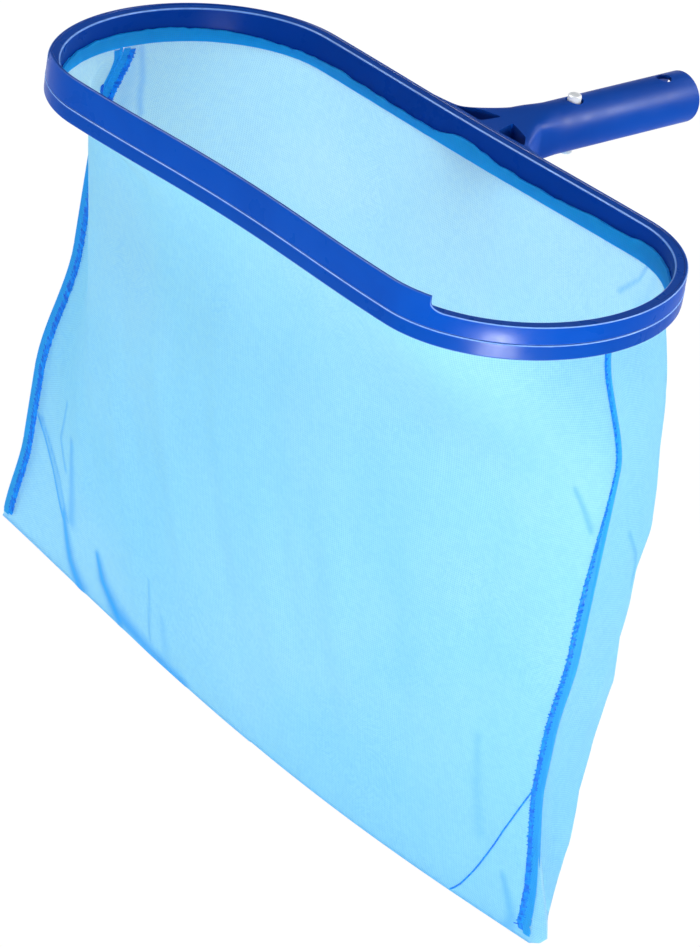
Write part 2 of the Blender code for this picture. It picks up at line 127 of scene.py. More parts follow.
# Camera and studio
CAMERA_AZIMUTH = 44.251  # degrees, 0 looks along +Y
CAMERA_ELEVATION = 28.023
CAMERA_ROLL = 9.208
CAMERA_DISTANCE = 2.6566
CAMERA_ASIDE = (-0.0058, -0.1713)  # right and up from the ring's centre
FOCAL_LENGTH = 186.9
SENSOR = 36.0
FLOOR_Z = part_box("net_bag")[0][2] - 0.14  # a little under the bag
FLOOR_BRIGHTNESS = 1.02
SKY_COLOUR = (0.93, 0.96, 1.0, 1.0)
SKY_BRIGHTNESS = 0.42


# ---- camera

def direction(azimuth, elevation):
    """The unit vector towards an azimuth and an elevation in degrees, with azimuth 0 at -Y."""
    turn, rise = math.radians(azimuth), math.radians(elevation)
    return Vector((math.sin(turn) * math.cos(rise), -math.cos(turn) * math.cos(rise),
                   math.sin(rise)))


def make_camera():
    """The camera, rolled about its own axis and then moved aside."""
    roll = math.radians(CAMERA_ROLL)
    backward = direction(CAMERA_AZIMUTH, CAMERA_ELEVATION)
    level = direction(CAMERA_AZIMUTH + 90, 0)
    upright = backward.cross(level)
    right = level * math.cos(roll) + upright * math.sin(roll)
    up = upright * math.cos(roll) - level * math.sin(roll)
    data = bpy.data.cameras.new("camera")
    data.sensor_width = SENSOR
    data.lens = FOCAL_LENGTH
    camera = new_object("camera", data)
    turn = Matrix((right, up, backward)).transposed()
    place = Vector(ORIGIN) + backward * CAMERA_DISTANCE
    place += right * CAMERA_ASIDE[0] + up * CAMERA_ASIDE[1]
    camera.matrix_world = Matrix.Translation(place) @ turn.to_4x4()
    bpy.context.scene.camera = camera


# ---- node helpers

class Nodes:
    """Short calls for building one material's node tree."""

    def __init__(self, name):
        self.material = bpy.data.materials.new(name)
        self.material.use_nodes = True
        self.tree = self.material.node_tree
        self.shader = self.tree.nodes["Principled BSDF"]
        self.output = self.tree.nodes["Material Output"]
        self.place = self.add("ShaderNodeTexCoord").outputs["Object"]

    def add(self, kind, inputs=None, **settings):
        made = self.tree.nodes.new(kind)
        for key, value in settings.items():
            setattr(made, key, value)
        self.fill(made, inputs or {})
        return made

    def fill(self, node, inputs):
        """Links or sets a node's inputs, which are given by name or by number."""
        for key, value in inputs.items():
            if isinstance(value, bpy.types.NodeSocket):
                self.tree.links.new(value, node.inputs[key])
            else:
                node.inputs[key].default_value = value

    def surface(self, colour, roughness, normal, specular=0.5, metallic=0.0):
        self.fill(self.shader, {"Base Color": colour, "Roughness": roughness, "Normal": normal,
                                "Specular IOR Level": specular, "Metallic": metallic})

    def noise(self, scale, detail=2.0, place=None, distortion=0.0):
        inputs = {"Vector": self.place if place is None else place, "Scale": scale,
                  "Detail": detail, "Distortion": distortion}
        return self.add("ShaderNodeTexNoise", inputs).outputs["Fac"]

    def math(self, operation, *values):
        made = self.add("ShaderNodeMath", dict(enumerate(values)), operation=operation)
        return made.outputs["Value"]

    def ramp(self, value, low, high, to_low=0.0, to_high=1.0):
        inputs = {"Value": value, "From Min": low, "From Max": high,
                  "To Min": to_low, "To Max": to_high}
        made = self.add("ShaderNodeMapRange", inputs, interpolation_type="SMOOTHSTEP")
        return made.outputs["Result"]

    def mix(self, factor, first, second):
        first, second = [(*value, 1.0) if isinstance(value, tuple) else value
                         for value in (first, second)]
        made = self.add("ShaderNodeMix", {0: factor, 6: first, 7: second}, data_type="RGBA")
        return made.outputs[2]

    def attribute(self, name):
        return self.add("ShaderNodeAttribute", attribute_name=name).outputs["Fac"]

    def looks_inward(self):
        """1 on faces that look into the ring and 0 on the others, the mask for the painted shade."""
        offset = self.add("ShaderNodeVectorMath", {0: self.place, 1: ORIGIN}, operation="SUBTRACT")
        facing = self.add("ShaderNodeTexCoord").outputs["Normal"]
        outward = self.add("ShaderNodeVectorMath", {0: offset.outputs["Vector"], 1: facing},
                           operation="DOT_PRODUCT")
        return self.ramp(outward.outputs["Value"], -0.080, -0.030, 1.0, 0.0)

    def bump(self, height, distance, strength=1.0, below=None):
        inputs = {"Height": height, "Distance": distance, "Strength": strength}
        if below is not None:
            inputs["Normal"] = below
        return self.add("ShaderNodeBump", inputs).outputs["Normal"]

    def weave(self):
        """0 in the mesh's openings and 1 on its threads, from the piece's UVs in metres."""
        uv = self.add("ShaderNodeUVMap").outputs["UV"]
        warp = self.add("ShaderNodeTexNoise", {"Vector": uv, "Scale": 16.0, "Detail": 1.0})
        moved = self.add("ShaderNodeVectorMath", {0: warp.outputs["Color"], 1: WEAVE_WANDER, 2: uv},
                         operation="MULTIPLY_ADD")
        parts = self.add("ShaderNodeSeparateXYZ", {"Vector": moved.outputs["Vector"]})
        waves = []
        for axis in "XY":
            turn = self.math("MULTIPLY", parts.outputs[axis], 2 * math.pi / WEAVE_PITCH)
            waves.append(self.math("SINE", turn))
        return self.ramp(self.math("MAXIMUM", *waves), 0.0, 1.0)


# ---- materials

# Plastic: its two tones, on the frame and handle and then on the clamp ring.
FRAME_BLUES = ((0.0015, 0.072, 0.450), (0.0010, 0.063, 0.415))
CLAMP_BLUES = ((0.0010, 0.066, 0.410), (0.0008, 0.058, 0.375))
# Painted shade: a darker blue for the walls that look into the ring.
PLASTIC_SHADED = (0.0004, 0.040, 0.285)  # on the walls that look into the ring
# Paler edges: part wear, part painted highlight lines along the rim and the parting line.
PLASTIC_WORN_AND_HIGHLIT = (0.260, 0.480, 1.000)
# Cloth: its two tones, and the colour of its folds.
NET_BLUES = ((0.420, 0.800, 0.955), (0.360, 0.775, 0.940), (0.020, 0.400, 0.950))
HEM_BLUES = ((0.0, 0.50, 0.98), (0.0, 0.38, 0.88), (0.04, 0.64, 0.98))
STRIP_BLUES = ((0.060, 0.60, 0.98), (0.045, 0.54, 0.96), (0.01, 0.44, 0.94))
THREAD_BLUES = ((0.0, 0.31, 0.90), (0.0, 0.15, 0.76))
CORD_BLUES = ((0.02, 0.20, 0.60), (0.06, 0.36, 0.82))
STEEL_GREYS = ((0.42, 0.43, 0.45), (0.68, 0.69, 0.71))
BUTTON_WHITES = ((0.84, 0.86, 0.88), (0.95, 0.96, 0.97))


def plastic(name, tones=FRAME_BLUES, roughness=(0.26, 0.38)):
    """Moulded polypropylene: faint flow marks, a fine grain, painted shade on the walls that look
    into the ring and paler edges that are part wear, part painted highlight.
    """
    made = Nodes(name)
    light, deep = tones
    flow = made.noise(14.0, 3.0, distortion=0.8)
    colour = made.mix(made.ramp(flow, 0.35, 0.65), deep, light)
    # Painted shade: faces that look into the ring take the darker PLASTIC_SHADED blue.
    colour = made.mix(made.looks_inward(), colour, PLASTIC_SHADED)
    # Paler edges, part wear and part painted highlight, broken up by noise.
    patchiness = made.ramp(made.noise(160.0, 4.0), 0.30, 0.62, 0.82, 1.0)
    worn_and_highlit = made.math("MULTIPLY", made.attribute("wear_and_highlight"), patchiness)
    grain = made.bump(made.noise(1500.0, 2.0), 0.00003, 0.5)
    made.surface(made.mix(worn_and_highlit, colour, PLASTIC_WORN_AND_HIGHLIT),
                 roughness=made.ramp(made.noise(70.0, 3.0), 0.3, 0.7, *roughness),
                 normal=made.bump(made.noise(30.0, 1.0), 0.0003, 0.35, grain), specular=0.03)
    return made.material


def net_cloth(name, tones, opacity):
    """Sheer woven mesh, lit through as well as on its face."""
    made = Nodes(name)
    pale, deep, folded = tones
    threads = made.weave()
    fold = made.attribute("fold")
    patch = made.ramp(made.noise(6.0, 2.0, distortion=0.6), 0.32, 0.68)
    mottle = made.ramp(made.noise(240.0, 3.0, distortion=1.0), 0.30, 0.70, 0.0, 0.10)
    base = made.mix(mottle, made.mix(patch, deep, pale), folded)
    rings = made.math("MULTIPLY", made.noise(22.0, 3.0, distortion=1.2), 2 * math.pi * 34)
    where = made.ramp(made.noise(13.0, 1.0), 0.44, 0.62, 0.0, 0.075)
    moire = made.math("MULTIPLY", made.ramp(made.math("SINE", rings), 0.0, 1.0), where)
    base = made.mix(moire, base, folded)
    woven = made.mix(made.ramp(threads, 0.0, 1.0, 0.10, 0.0), base, folded)
    colour = made.mix(fold, woven, folded)
    wrinkle = made.bump(made.noise(110.0, 3.0, distortion=1.2), 0.0008, 0.25)
    made.surface(colour, 0.62, made.bump(threads, 0.0002, 0.5, wrinkle), specular=0.06)
    through = made.add("ShaderNodeBsdfTranslucent", {"Color": colour})
    lit = made.add("ShaderNodeMixShader", {"Fac": 0.50, 1: made.shader.outputs["BSDF"],
                                           2: through.outputs["BSDF"]})
    solid = made.ramp(threads, 0.0, 1.0, opacity - 0.05, opacity + 0.04)
    solid = made.math("MAXIMUM", solid, made.math("MULTIPLY", fold, 1.1))
    clear = made.add("ShaderNodeBsdfTransparent")
    sheer = made.add("ShaderNodeMixShader", {"Fac": solid, 1: clear.outputs["BSDF"],
                                             2: lit.outputs["Shader"]})
    made.fill(made.output, {"Surface": sheer.outputs["Shader"]})
    return made.material


def thread(name):
    """Fuzzy polyester sewing thread."""
    made = Nodes(name)
    light, deep = THREAD_BLUES
    tone = made.ramp(made.noise(420.0, 4.0), 0.32, 0.68)
    fuzz = made.bump(made.noise(1800.0, 3.0), 0.0003, 0.8)
    made.surface(made.mix(tone, deep, light), 0.7, fuzz, specular=0.06)
    return made.material


def spring_steel(name):
    """Cold-rolled strip with a fine lengthwise grain."""
    made = Nodes(name)
    stretched = made.add("ShaderNodeMapping", {"Vector": made.place, "Scale": (2600.0, 60.0, 60.0)})
    grain = made.noise(1.0, 3.0, place=stretched.outputs["Vector"])
    made.surface(made.mix(grain, *STEEL_GREYS), made.ramp(grain, 0.3, 0.7, 0.22, 0.40),
                 made.bump(grain, 0.00005, 0.4), metallic=1.0)
    return made.material


def white_plastic(name):
    """The buttons' plastic, barely mottled."""
    made = Nodes(name)
    tone = made.ramp(made.noise(300.0, 3.0), 0.35, 0.65)
    gloss = made.ramp(made.noise(500.0, 2.0), 0.3, 0.7, 0.28, 0.42)
    grain = made.bump(made.noise(1200.0, 2.0), 0.00003, 0.5)
    made.surface(made.mix(tone, *BUTTON_WHITES), gloss, grain)
    return made.material


def twisted_cord(name):
    """The hem's cord, with its lay shown as slanted bands."""
    made = Nodes(name)
    band = made.add("ShaderNodeTexWave", {"Vector": made.place, "Scale": 260.0, "Distortion": 1.0},
                    wave_type="BANDS", bands_direction="DIAGONAL").outputs["Fac"]
    made.surface(made.mix(band, *CORD_BLUES), 0.75, made.bump(band, 0.0002, 0.6))
    return made.material


def glowing(name, brightness):
    """The pale studio surfaces, bright enough to read as white."""
    made = Nodes(name)
    made.tree.nodes.remove(made.shader)
    light = made.add("ShaderNodeEmission", {"Color": (1.0, 1.0, 1.0, 1.0), "Strength": brightness})
    made.fill(made.output, {"Surface": light.outputs["Emission"]})
    return made.material


# ---- mesh helpers

def smooth(t):
    """Eases from 0 to 1."""
    t = np.clip(t, 0.0, 1.0)
    return t * t * (3 - 2 * t)


def grid_faces(rows, columns, close_rows=False, close_columns=False, start=0):
    """Quads between neighbouring rows of vertices, as tuples of vertex numbers."""
    faces = []
    for i in range(rows if close_rows else rows - 1):
        here = start + i * columns
        there = start + ((i + 1) % rows) * columns
        for j in range(columns if close_columns else columns - 1):
            k = (j + 1) % columns
            faces.append((here + j, here + k, there + k, there + j))
    return faces


def tube_faces(rows, sides):
    """Faces of a tube that is closed at both ends, from its rows of vertices."""
    faces = grid_faces(rows, sides, close_columns=True)
    return faces + [tuple(range(sides)), tuple(range((rows - 1) * sides, rows * sides))]


def circle(radius, sides, height=0.0):
    """Points round a level circle."""
    angles = [2 * math.pi * j / sides for j in range(sides)]
    return [Vector((radius * math.cos(a), radius * math.sin(a), height)) for a in angles]


def new_piece(name, points, faces, surface, body="frame", sharp_angle=40.0, outward=True):
    """A mesh object in the row frame, riding on a body, with smooth shading."""
    mesh = bpy.data.meshes.new(name)
    mesh.from_pydata([tuple(point) for point in points], [], faces)
    if outward:
        bm = bmesh.new()
        bm.from_mesh(mesh)
        bmesh.ops.recalc_face_normals(bm, faces=bm.faces[:])
        bm.to_mesh(mesh)
        bm.free()
    mesh.shade_smooth()
    mesh.set_sharp_from_angle(angle=math.radians(sharp_angle))
    piece = new_object(name, mesh)
    if surface is not None:
        mesh.materials.append(surface)
    if body is not None:
        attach(piece, body)
    return piece


def new_object(name, data):
    made = bpy.data.objects.new(name, data)
    bpy.context.scene.collection.objects.link(made)
    return made


def give_attribute(piece, name, values):
    layer = piece.data.attributes.new(name, "FLOAT", "POINT")
    layer.data.foreach_set("value", np.asarray(values, dtype=np.float32))


def give_uv(piece, uv):
    """UVs from one (u, v) pair per vertex."""
    layer = piece.data.uv_layers.new(name="UVMap")
    corners = np.empty(len(piece.data.loops), dtype=np.int32)
    piece.data.loops.foreach_get("vertex_index", corners)
    layer.uv.foreach_set("vector", np.asarray(uv, dtype=np.float32)[corners].ravel())


def cut(target, cutter):
    """Takes the cutter's shape out of the target, and deletes the cutter."""
    modifier = target.modifiers.new("cut", "BOOLEAN")
    modifier.operation = "DIFFERENCE"
    modifier.solver = "EXACT"
    modifier.object = cutter
    depsgraph = bpy.context.evaluated_depsgraph_get()
    mesh = bpy.data.meshes.new_from_object(target.evaluated_get(depsgraph))
    target.modifiers.clear()
    target.data = mesh
    bpy.data.objects.remove(cutter)


# ---- frame ring

def side_point(x, sign):
    """A point on a long side: sign is +1 at the back and -1 at the front."""
    bow = BACK_BOW if sign > 0 else FRONT_BOW
    dip = bow * math.cos(math.pi * x / (2 * SIDE_HALF_LENGTH)) ** 2
    return (x, sign * (HALF_WIDTH - dip))


def end_point(angle, sign):
    """A point on a rounded end: angle runs from -90 at the front to 90 degrees at the back."""
    x = SIDE_HALF_LENGTH + END_LENGTH * math.cos(angle)
    return (sign * x, HALF_WIDTH * math.sin(angle))


def ring_path():
    """The ring's outline from above, counter-clockwise, with extra stations where the lip ends."""
    path = []
    for sign in (1, -1):
        for i in range(END_STEPS):
            path.append(Vector(end_point(sign * math.pi * (i / END_STEPS - 0.5), sign)))
        for i in range(SIDE_STEPS):
            x = sign * SIDE_HALF_LENGTH * (1 - 2 * i / SIDE_STEPS)
            path.append(Vector(side_point(x, sign)))
    for step in LIP_STATIONS:
        for end_x in LIP_END_X:
            angle = -math.acos((abs(end_x) + step - SIDE_HALF_LENGTH) / END_LENGTH)
            insert_station(path, Vector(end_point(angle, 1 if end_x > 0 else -1)))
    return path


def insert_station(path, point):
    """Puts a point into the outline between its two nearest neighbours, unless it has one there."""
    detours = []
    for i, here in enumerate(path):
        there = path[(i + 1) % len(path)]
        detours.append((here - point).length + (there - point).length - (here - there).length)
    place = detours.index(min(detours))
    neighbours = path[place], path[(place + 1) % len(path)]
    same_place = 0.00005
    if min((neighbour - point).length for neighbour in neighbours) > same_place:
        path.insert(place + 1, point)


def inward_normals(path):
    normals = []
    for i in range(len(path)):
        along = (path[(i + 1) % len(path)] - path[i - 1]).normalized()
        normals.append(Vector((-along.y, along.x)))
    return normals


def lip_height(point):
    """Height of the scraper lip at a place on the outline. Past each end it drops in one step
    and then in a hollow fillet."""
    if point.y > 0:
        return LIP_BEAD
    past_end = abs(point.x) - abs(LIP_END_X[0] if point.x < 0 else LIP_END_X[1])
    if past_end <= 0:
        return LIP_HEIGHT
    if past_end >= LIP_FILLET:
        return LIP_BEAD
    fall = 1 - math.sqrt(1 - (1 - past_end / LIP_FILLET) ** 2)
    return LIP_BEAD + LIP_FILLET_SHARE * (LIP_HEIGHT - LIP_BEAD) * fall


def rounded_section(corners, steps=4):
    """Rounds a closed section. Each corner is (inward, down, radius, paleness), the paleness being
    edge wear and painted highlight; returns the same number of (inward, down, paleness) points
    whatever the radii are."""
    section = []
    for i, (inward, down, radius, wear_and_highlight) in enumerate(corners):
        here = Vector((inward, down))
        before = Vector(corners[i - 1][:2]) - here
        after = Vector(corners[(i + 1) % len(corners)][:2]) - here
        reach = min(radius, 0.45 * before.length, 0.45 * after.length)
        start = here + before.normalized() * reach
        end = here + after.normalized() * reach
        for k in range(steps + 1):
            t = k / steps
            place = start * (1 - t) ** 2 + here * (2 * t * (1 - t)) + end * t ** 2
            section.append((place.x, place.y, wear_and_highlight * math.sin(math.pi * t) ** 0.5))
    return section


def sweep_ring(name, section_at, surface):
    """Sweeps a closed section round the outline, with its attribute for paler edges: wear and
    painted highlight.
    """
    path = ring_path()
    points, wear_and_highlights = [], []
    for point, normal in zip(path, inward_normals(path)):
        section = section_at(point)
        for inward, down, wear_and_highlight in section:
            place = point + normal * inward
            points.append((place.x, place.y + RING_CENTRE_Y, RIM_TOP_Z - down))
            wear_and_highlights.append(wear_and_highlight)
    faces = grid_faces(len(path), len(section), close_rows=True, close_columns=True)
    piece = new_piece(name, points, faces, surface)
    give_attribute(piece, "wear_and_highlight", wear_and_highlights)
    return piece


def make_upper_frame(surface):
    """An inverted channel with the scraper lip standing on the front of its outer wall."""
    foot = PARTING_DEPTH - GAP / 2

    def section_at(point):
        lip = lip_height(point)
        bare = 1 - (lip - LIP_BEAD) / (LIP_HEIGHT - LIP_BEAD)
        # The last figure of each corner paints its edge paler: wear and painted highlight.
        return rounded_section([
            (0.0, foot, 0.0005, 0.25),
            (0.0, -lip, 0.0007, 0.10 + 0.80 * bare),
            (LIP_THICKNESS, -lip, 0.0004, 0.05),
            (LIP_THICKNESS + 0.0002, 0.0, 0.0003, 0.0),
            (RIM_WIDTH, 0.0, 0.0010, 1.0),
            (RIM_WIDTH, INNER_WALL_FOOT, 0.0004, 0.0),
            (RIM_WIDTH - WALL + 0.0001, INNER_WALL_FOOT, 0.0002, 0.0),
            (RIM_WIDTH - WALL - 0.0001, ROOF, 0.0002, 0.0),
            (WALL + 0.0004, ROOF, 0.0002, 0.0),
            (WALL + 0.0002, foot, 0.0002, 0.0),
        ])

    piece = sweep_ring("frame_rim", section_at, surface)
    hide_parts("upper_frame")


def make_clamp_ring(surface):
    """The snap-on ring under the parting line, its top edge just proud enough to catch light and
    painted paler as a highlight line.
    """
    shoulder = PARTING_DEPTH + GAP / 2
    tongue_top, tongue_outside, tongue_inside = 0.0056, 0.0027, 0.0044

    def section_at(_point):
        # The top outer edge is painted fully pale, a painted highlight line along the parting line.
        return rounded_section([
            (-GROOVE_PROUD, shoulder, 0.0011, 1.0),
            (tongue_outside, shoulder, 0.0002, 0.0),
            (tongue_outside + 0.0001, tongue_top, 0.0004, 0.0),
            (tongue_inside - 0.0001, tongue_top, 0.0004, 0.0),
            (tongue_inside, shoulder, 0.0002, 0.0),
            (CLAMP_INNER_FACE, shoulder, 0.0003, 0.0),
            (CLAMP_INNER_FACE, RING_HEIGHT, 0.0008, 0.15),
            (0.0, RING_HEIGHT, 0.0010, 0.12),
            (-GROOVE_PROUD * 0.5, shoulder + 0.0016, 0.0006, 0.0),
        ])

    piece = sweep_ring("clamp_ring", section_at, surface)
    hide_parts("lower_clamp_ring")


# ---- handle

def handle_section(y):
    """Half width, half height, centre height and squareness of the handle at a distance y."""
    out = max(y - (RING_CENTRE_Y + HALF_WIDTH), 0.0)
    half_width = TUBE_RADIUS + WEB_FILLET * math.exp(-out / WEB_FILLET_REACH)
    half_width += WEB_FLARE * max(1 - out / WEB_LENGTH, 0.0) ** 1.3
    ease = float(smooth(out / ROOT_LENGTH))
    half_height = (RING_HEIGHT / 2) * (1 - ease) + TUBE_RADIUS * ease
    centre_z = (RIM_TOP_Z - RING_HEIGHT / 2) * (1 - ease)
    squareness = WEB_SQUARENESS * (1 - ease) + 2.0 * ease
    return half_width, half_height, centre_z, squareness


def power_point(angle, half_width, half_height, squareness):
    """A point on a superellipse."""
    c, s = math.cos(angle), math.sin(angle)
    return (half_width * math.copysign(abs(c) ** (2 / squareness), c),
            half_height * math.copysign(abs(s) ** (2 / squareness), s))


def prism(name, outline, low, high):
    """A vertical prism over an outline in the XY plane, as a cutter."""
    points = [(x, y, z) for z in (low, high) for x, y in outline]
    return new_piece(name, points, tube_faces(2, len(outline)), None, body=None)


def lathe(name, profile, centre, axis, sides, surface=None, body=None):
    """Turns a (radius, along) profile round an axis through centre; its two ends are closed."""
    turn = Vector(axis).to_track_quat("Z", "Y").to_matrix()
    points = []
    for radius, along in profile:
        points += [Vector(centre) + turn @ local for local in circle(radius, sides, along)]
    return new_piece(name, points, tube_faces(len(profile), sides), surface, body)


def make_handle(surface):
    """The socket tube with its rounded mouth, flaring into the pocketed web at the ring."""
    sides = 96
    back_y = RING_CENTRE_Y + HALF_WIDTH
    overlap = 0.006  # how far it reaches into the ring before trimming
    stations = [back_y - overlap + (ROOT_LENGTH + overlap) * (i / 60) ** 1.4 for i in range(61)]
    stations += [-0.080, -0.060, -0.040, -0.020]
    mouth = 0.0014
    stations += [mouth * (math.sin(math.pi / 8 * k) - 1) for k in range(5)]
    points = []
    for y in stations:
        half_width, half_height, centre_z, squareness = handle_section(y)
        inset = mouth - math.sqrt(mouth ** 2 - min(max(y + mouth, 0.0), mouth) ** 2)
        for j in range(sides):
            x, z = power_point(2 * math.pi * j / sides, half_width - inset, half_height - inset,
                               squareness)
            points.append((x, y, centre_z + z))
    handle = new_piece("handle_moulding", points, tube_faces(len(stations), sides), surface,
                       body=None)

    outline = []
    path = ring_path()
    for point, normal in zip(path, inward_normals(path)):
        place = point - normal * GAP
        outline.append((place.x, place.y + RING_CENTRE_Y))
    cut(handle, prism("ring_clearance", outline, RIM_TOP_Z - 0.050, RIM_TOP_Z + 0.030))
    wide = TUBE_BORE_RADIUS + mouth / 3
    bore = [(TUBE_BORE_RADIUS, -BORE_DEPTH), (TUBE_BORE_RADIUS, -mouth), (wide, 0.0), (wide, 0.010)]
    cut(handle, lathe("bore_cutter", bore, (0, 0, 0), (0, 1, 0), sides))
    for y, radius in CLIP_HOLES:
        hole = [(radius, -0.030), (radius, 0.030)]
        cut(handle, lathe("clip_hole_cutter", hole, (0, y, 0), (0, 0, 1), 48))
    for side in (-1, 1):
        corners = [(side * 0.0075, back_y - 0.0002), (side * 0.0285, back_y + 0.0005),
                   (side * 0.0208, back_y + 0.0090), (side * 0.0045, back_y + 0.0140)]
        section = rounded_section([(*corner, POCKET_ROUND, 0.0) for corner in corners], 6)
        outline = [(x, y) for x, y, _wear_and_highlight in section]
        cut(handle, prism("pocket_cutter", outline, RIM_TOP_Z - POCKET_DEPTH, RIM_TOP_Z + 0.010))
    soften_edges(handle)
    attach(handle, "frame")
    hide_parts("handle")


def soften_edges(piece):
    """A small round on every moulded edge, kept as a live modifier."""
    piece.data.shade_smooth()
    piece.data.set_sharp_from_angle(angle=math.radians(35))
    bevel = piece.modifiers.new("edges", "BEVEL")
    bevel.width = 0.0004
    bevel.segments = 2
    bevel.limit_method = "ANGLE"
    bevel.angle_limit = math.radians(40)
    bevel.use_clamp_overlap = True


def make_button(name, node, body, side, surface):
    """A domed snap button with a soft shoulder, standing where its CAD node stands."""
    low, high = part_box(node)
    foot, top = (low[2], high[2]) if side > 0 else (-high[2], -low[2])
    dome, shoulder = 0.0012, 0.0007
    profile = [(BUTTON_RADIUS - 0.0003, foot), (BUTTON_RADIUS, foot + 0.0003),
               (BUTTON_RADIUS, top - dome)]
    for k in range(1, 9):
        angle = math.pi / 2 * k / 9
        reach = BUTTON_RADIUS - shoulder + shoulder * math.cos(angle)
        profile.append((reach * (1 - 0.12 * (k / 9) ** 3), top - dome + dome * math.sin(angle)))
    profile.append((BUTTON_RADIUS * 0.45, top))
    centre_y = (low[1] + high[1]) / 2
    piece = lathe(name, profile, (0, centre_y, 0), (0, 0, side), 40, surface, body)
    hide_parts(node)


# ---- net bag

def half_outline(sign):
    """The cloth's own outline at the frame, from the left end to the right end: sign is -1 for
    the front and +1 for the back. Returns a function of the share of its length."""
    steps = 480
    end_share = 0.5
    outline = []
    for i in range(steps + 1):
        reach = math.cos(math.pi * (1 - i / steps))
        if abs(reach) > end_share:
            past = (abs(reach) - end_share) / (1 - end_share)
            x = SIDE_HALF_LENGTH + (END_LENGTH - NET_INSET) * math.sin(past * math.pi / 2)
            y = (HALF_WIDTH - NET_INSET) * math.cos(past * math.pi / 2)
            outline.append((math.copysign(x, reach), sign * y))
        else:
            x, y = side_point(SIDE_HALF_LENGTH * reach / end_share, sign)
            outline.append((x, y - sign * NET_INSET))
    points = np.array(outline)
    lengths = np.concatenate(([0], np.cumsum(np.hypot(*np.diff(points, axis=0).T))))
    lengths /= lengths[-1]
    return lambda share: (np.interp(share, lengths, points[:, 0]),
                          np.interp(share, lengths, points[:, 1]))


OUTLINES = {-1: half_outline(-1), 1: half_outline(1)}


def swing(parts, drop):
    """Share of a seam's whole swing that it has made at a drop."""
    return sum(amount * smooth((drop - start) / length) for amount, start, length in parts)


def smooth_cloth(sign, share, drop):
    """The bag's middle surface without folds. share runs from the left seam at 0 to the right
    seam at 1, and drop from the hem at 0 to the bottom fold at 1."""
    top_x, top_y = OUTLINES[sign](share)
    bottom_x = BOTTOM_LEFT[0] + (BOTTOM_RIGHT[0] - BOTTOM_LEFT[0]) * share
    bottom_z = BOTTOM_LEFT[2] + (BOTTOM_RIGHT[2] - BOTTOM_LEFT[2]) * share
    bottom_z = bottom_z - BOTTOM_SAG * np.sin(np.pi * share ** 1.1)
    apex = SIDE_HALF_LENGTH + END_LENGTH - NET_INSET
    fullness = share ** 3
    ring_like = 0.50 + 0.38 * fullness
    spread = drop if sign < 0 else smooth((drop - ring_like) / (1 - ring_like))
    x = top_x + (bottom_x - top_x) * spread
    x = x + (1 - share) ** 3 * (BOTTOM_LEFT[0] + apex) * (swing(LEFT_SWING, drop) - spread)
    reach = 3.0 if sign < 0 else 1.7
    x = x + share ** reach * (BOTTOM_RIGHT[0] - apex) * (swing(RIGHT_SWING, drop) - spread)
    top_z = -HEM_DROP - GAP
    z = top_z + (bottom_z - top_z) * drop
    if sign < 0:
        middle = abs(OUTLINES[-1](0.5)[1])
        lens = middle * 4 * share * (1 - share)
        flat = smooth(drop / (0.03 + 0.22 * smooth(share)))
        depth = (np.abs(top_y) * (1 - flat) + lens * flat) * (1 - drop) ** 0.9
        inward = share * CLOTH_WIDTH  # beside the left seam the front is pressed flat
        pressed = smooth((drop - 0.08) / 0.07)
        depth = depth * (1 - pressed * (1 - smooth((inward - 0.008) / 0.080)))
        x = x + pressed * (1 - drop) * inward * np.exp(-(inward / 0.030) ** 2)
    else:
        belly = 1 + 0.04 * smooth(drop / 0.08) * fullness
        full = np.abs(top_y) * (1 - 0.08 * smooth(drop)) * belly
        depth = full * np.maximum(1 - drop ** (5 + 19 * fullness), 0.0) ** 0.6
    # The layers draw together at the foot of the right seam.
    gap = NET_EDGE_HALF_GAP * (1 - 0.75 * smooth((drop - 0.76) / 0.06) * (share > 0.5))
    depth = np.hypot(depth, gap)
    return np.stack(np.broadcast_arrays(x, BOTTOM_LEFT[1] * drop + sign * depth, z), axis=-1), depth


# Folds in the cloth: a route of (share, drop) points, half widths in metres at its start and end,
# and strength.
FRONT_FOLDS = (
    (((0.022, 0.76), (0.075, 0.83), (0.119, 0.894)), (0.0012, 0.0016), 0.95),
    (((0.038, 0.77), (0.094, 0.83), (0.131, 0.890)), (0.0007, 0.0010), 0.75),
    (((0.030, 0.76), (0.085, 0.83), (0.125, 0.892)), (0.0020, 0.0032), 0.42),
    (((0.119, 0.880), (0.144, 0.960), (0.166, 1.00)), (0.0030, 0.0072), 0.88),
    (((0.106, 0.675), (0.088, 0.756), (0.113, 0.800)), (0.0014, 0.0020), 0.55),
    (((0.131, 0.731), (0.138, 0.881)), (0.0030, 0.0055), 0.48),
    (((0.200, 0.894), (0.213, 0.938), (0.245, 0.985)), (0.0026, 0.0088), 0.90),
    (((0.238, 0.975), (0.306, 0.995), (0.375, 1.00)), (0.0085, 0.0045), 0.80),
    (((0.312, 0.838), (0.306, 0.981)), (0.0008, 0.0014), 0.42),
    (((0.335, 0.900), (0.340, 0.990)), (0.0030, 0.0060), 0.22),
    (((0.938, 0.213), (0.975, 0.281)), (0.0016, 0.0024), 0.45),
    (((0.938, 0.915), (0.956, 1.000)), (0.0025, 0.0050), 0.42),
    (((0.880, 0.700), (0.900, 0.860)), (0.0030, 0.0060), 0.20),
)
BACK_FOLDS = (
    (((0.775, 0.000), (0.763, 0.031), (0.731, 0.069)), (0.0010, 0.0014), 0.55),
    (((0.790, 0.020), (0.776, 0.050), (0.760, 0.075)), (0.0040, 0.0060), 0.16),
    (((0.026, 0.010), (0.045, 0.081), (0.057, 0.156)), (0.0021, 0.0021), 0.62),
    (((0.018, 0.010), (0.028, 0.081), (0.034, 0.156)), (0.0050, 0.0090), 0.30),
    (((0.960, 0.300), (0.930, 0.370), (0.915, 0.420)), (0.0014, 0.0022), 0.40),
)
BAG_DEPTH = -BOTTOM_RIGHT[2]
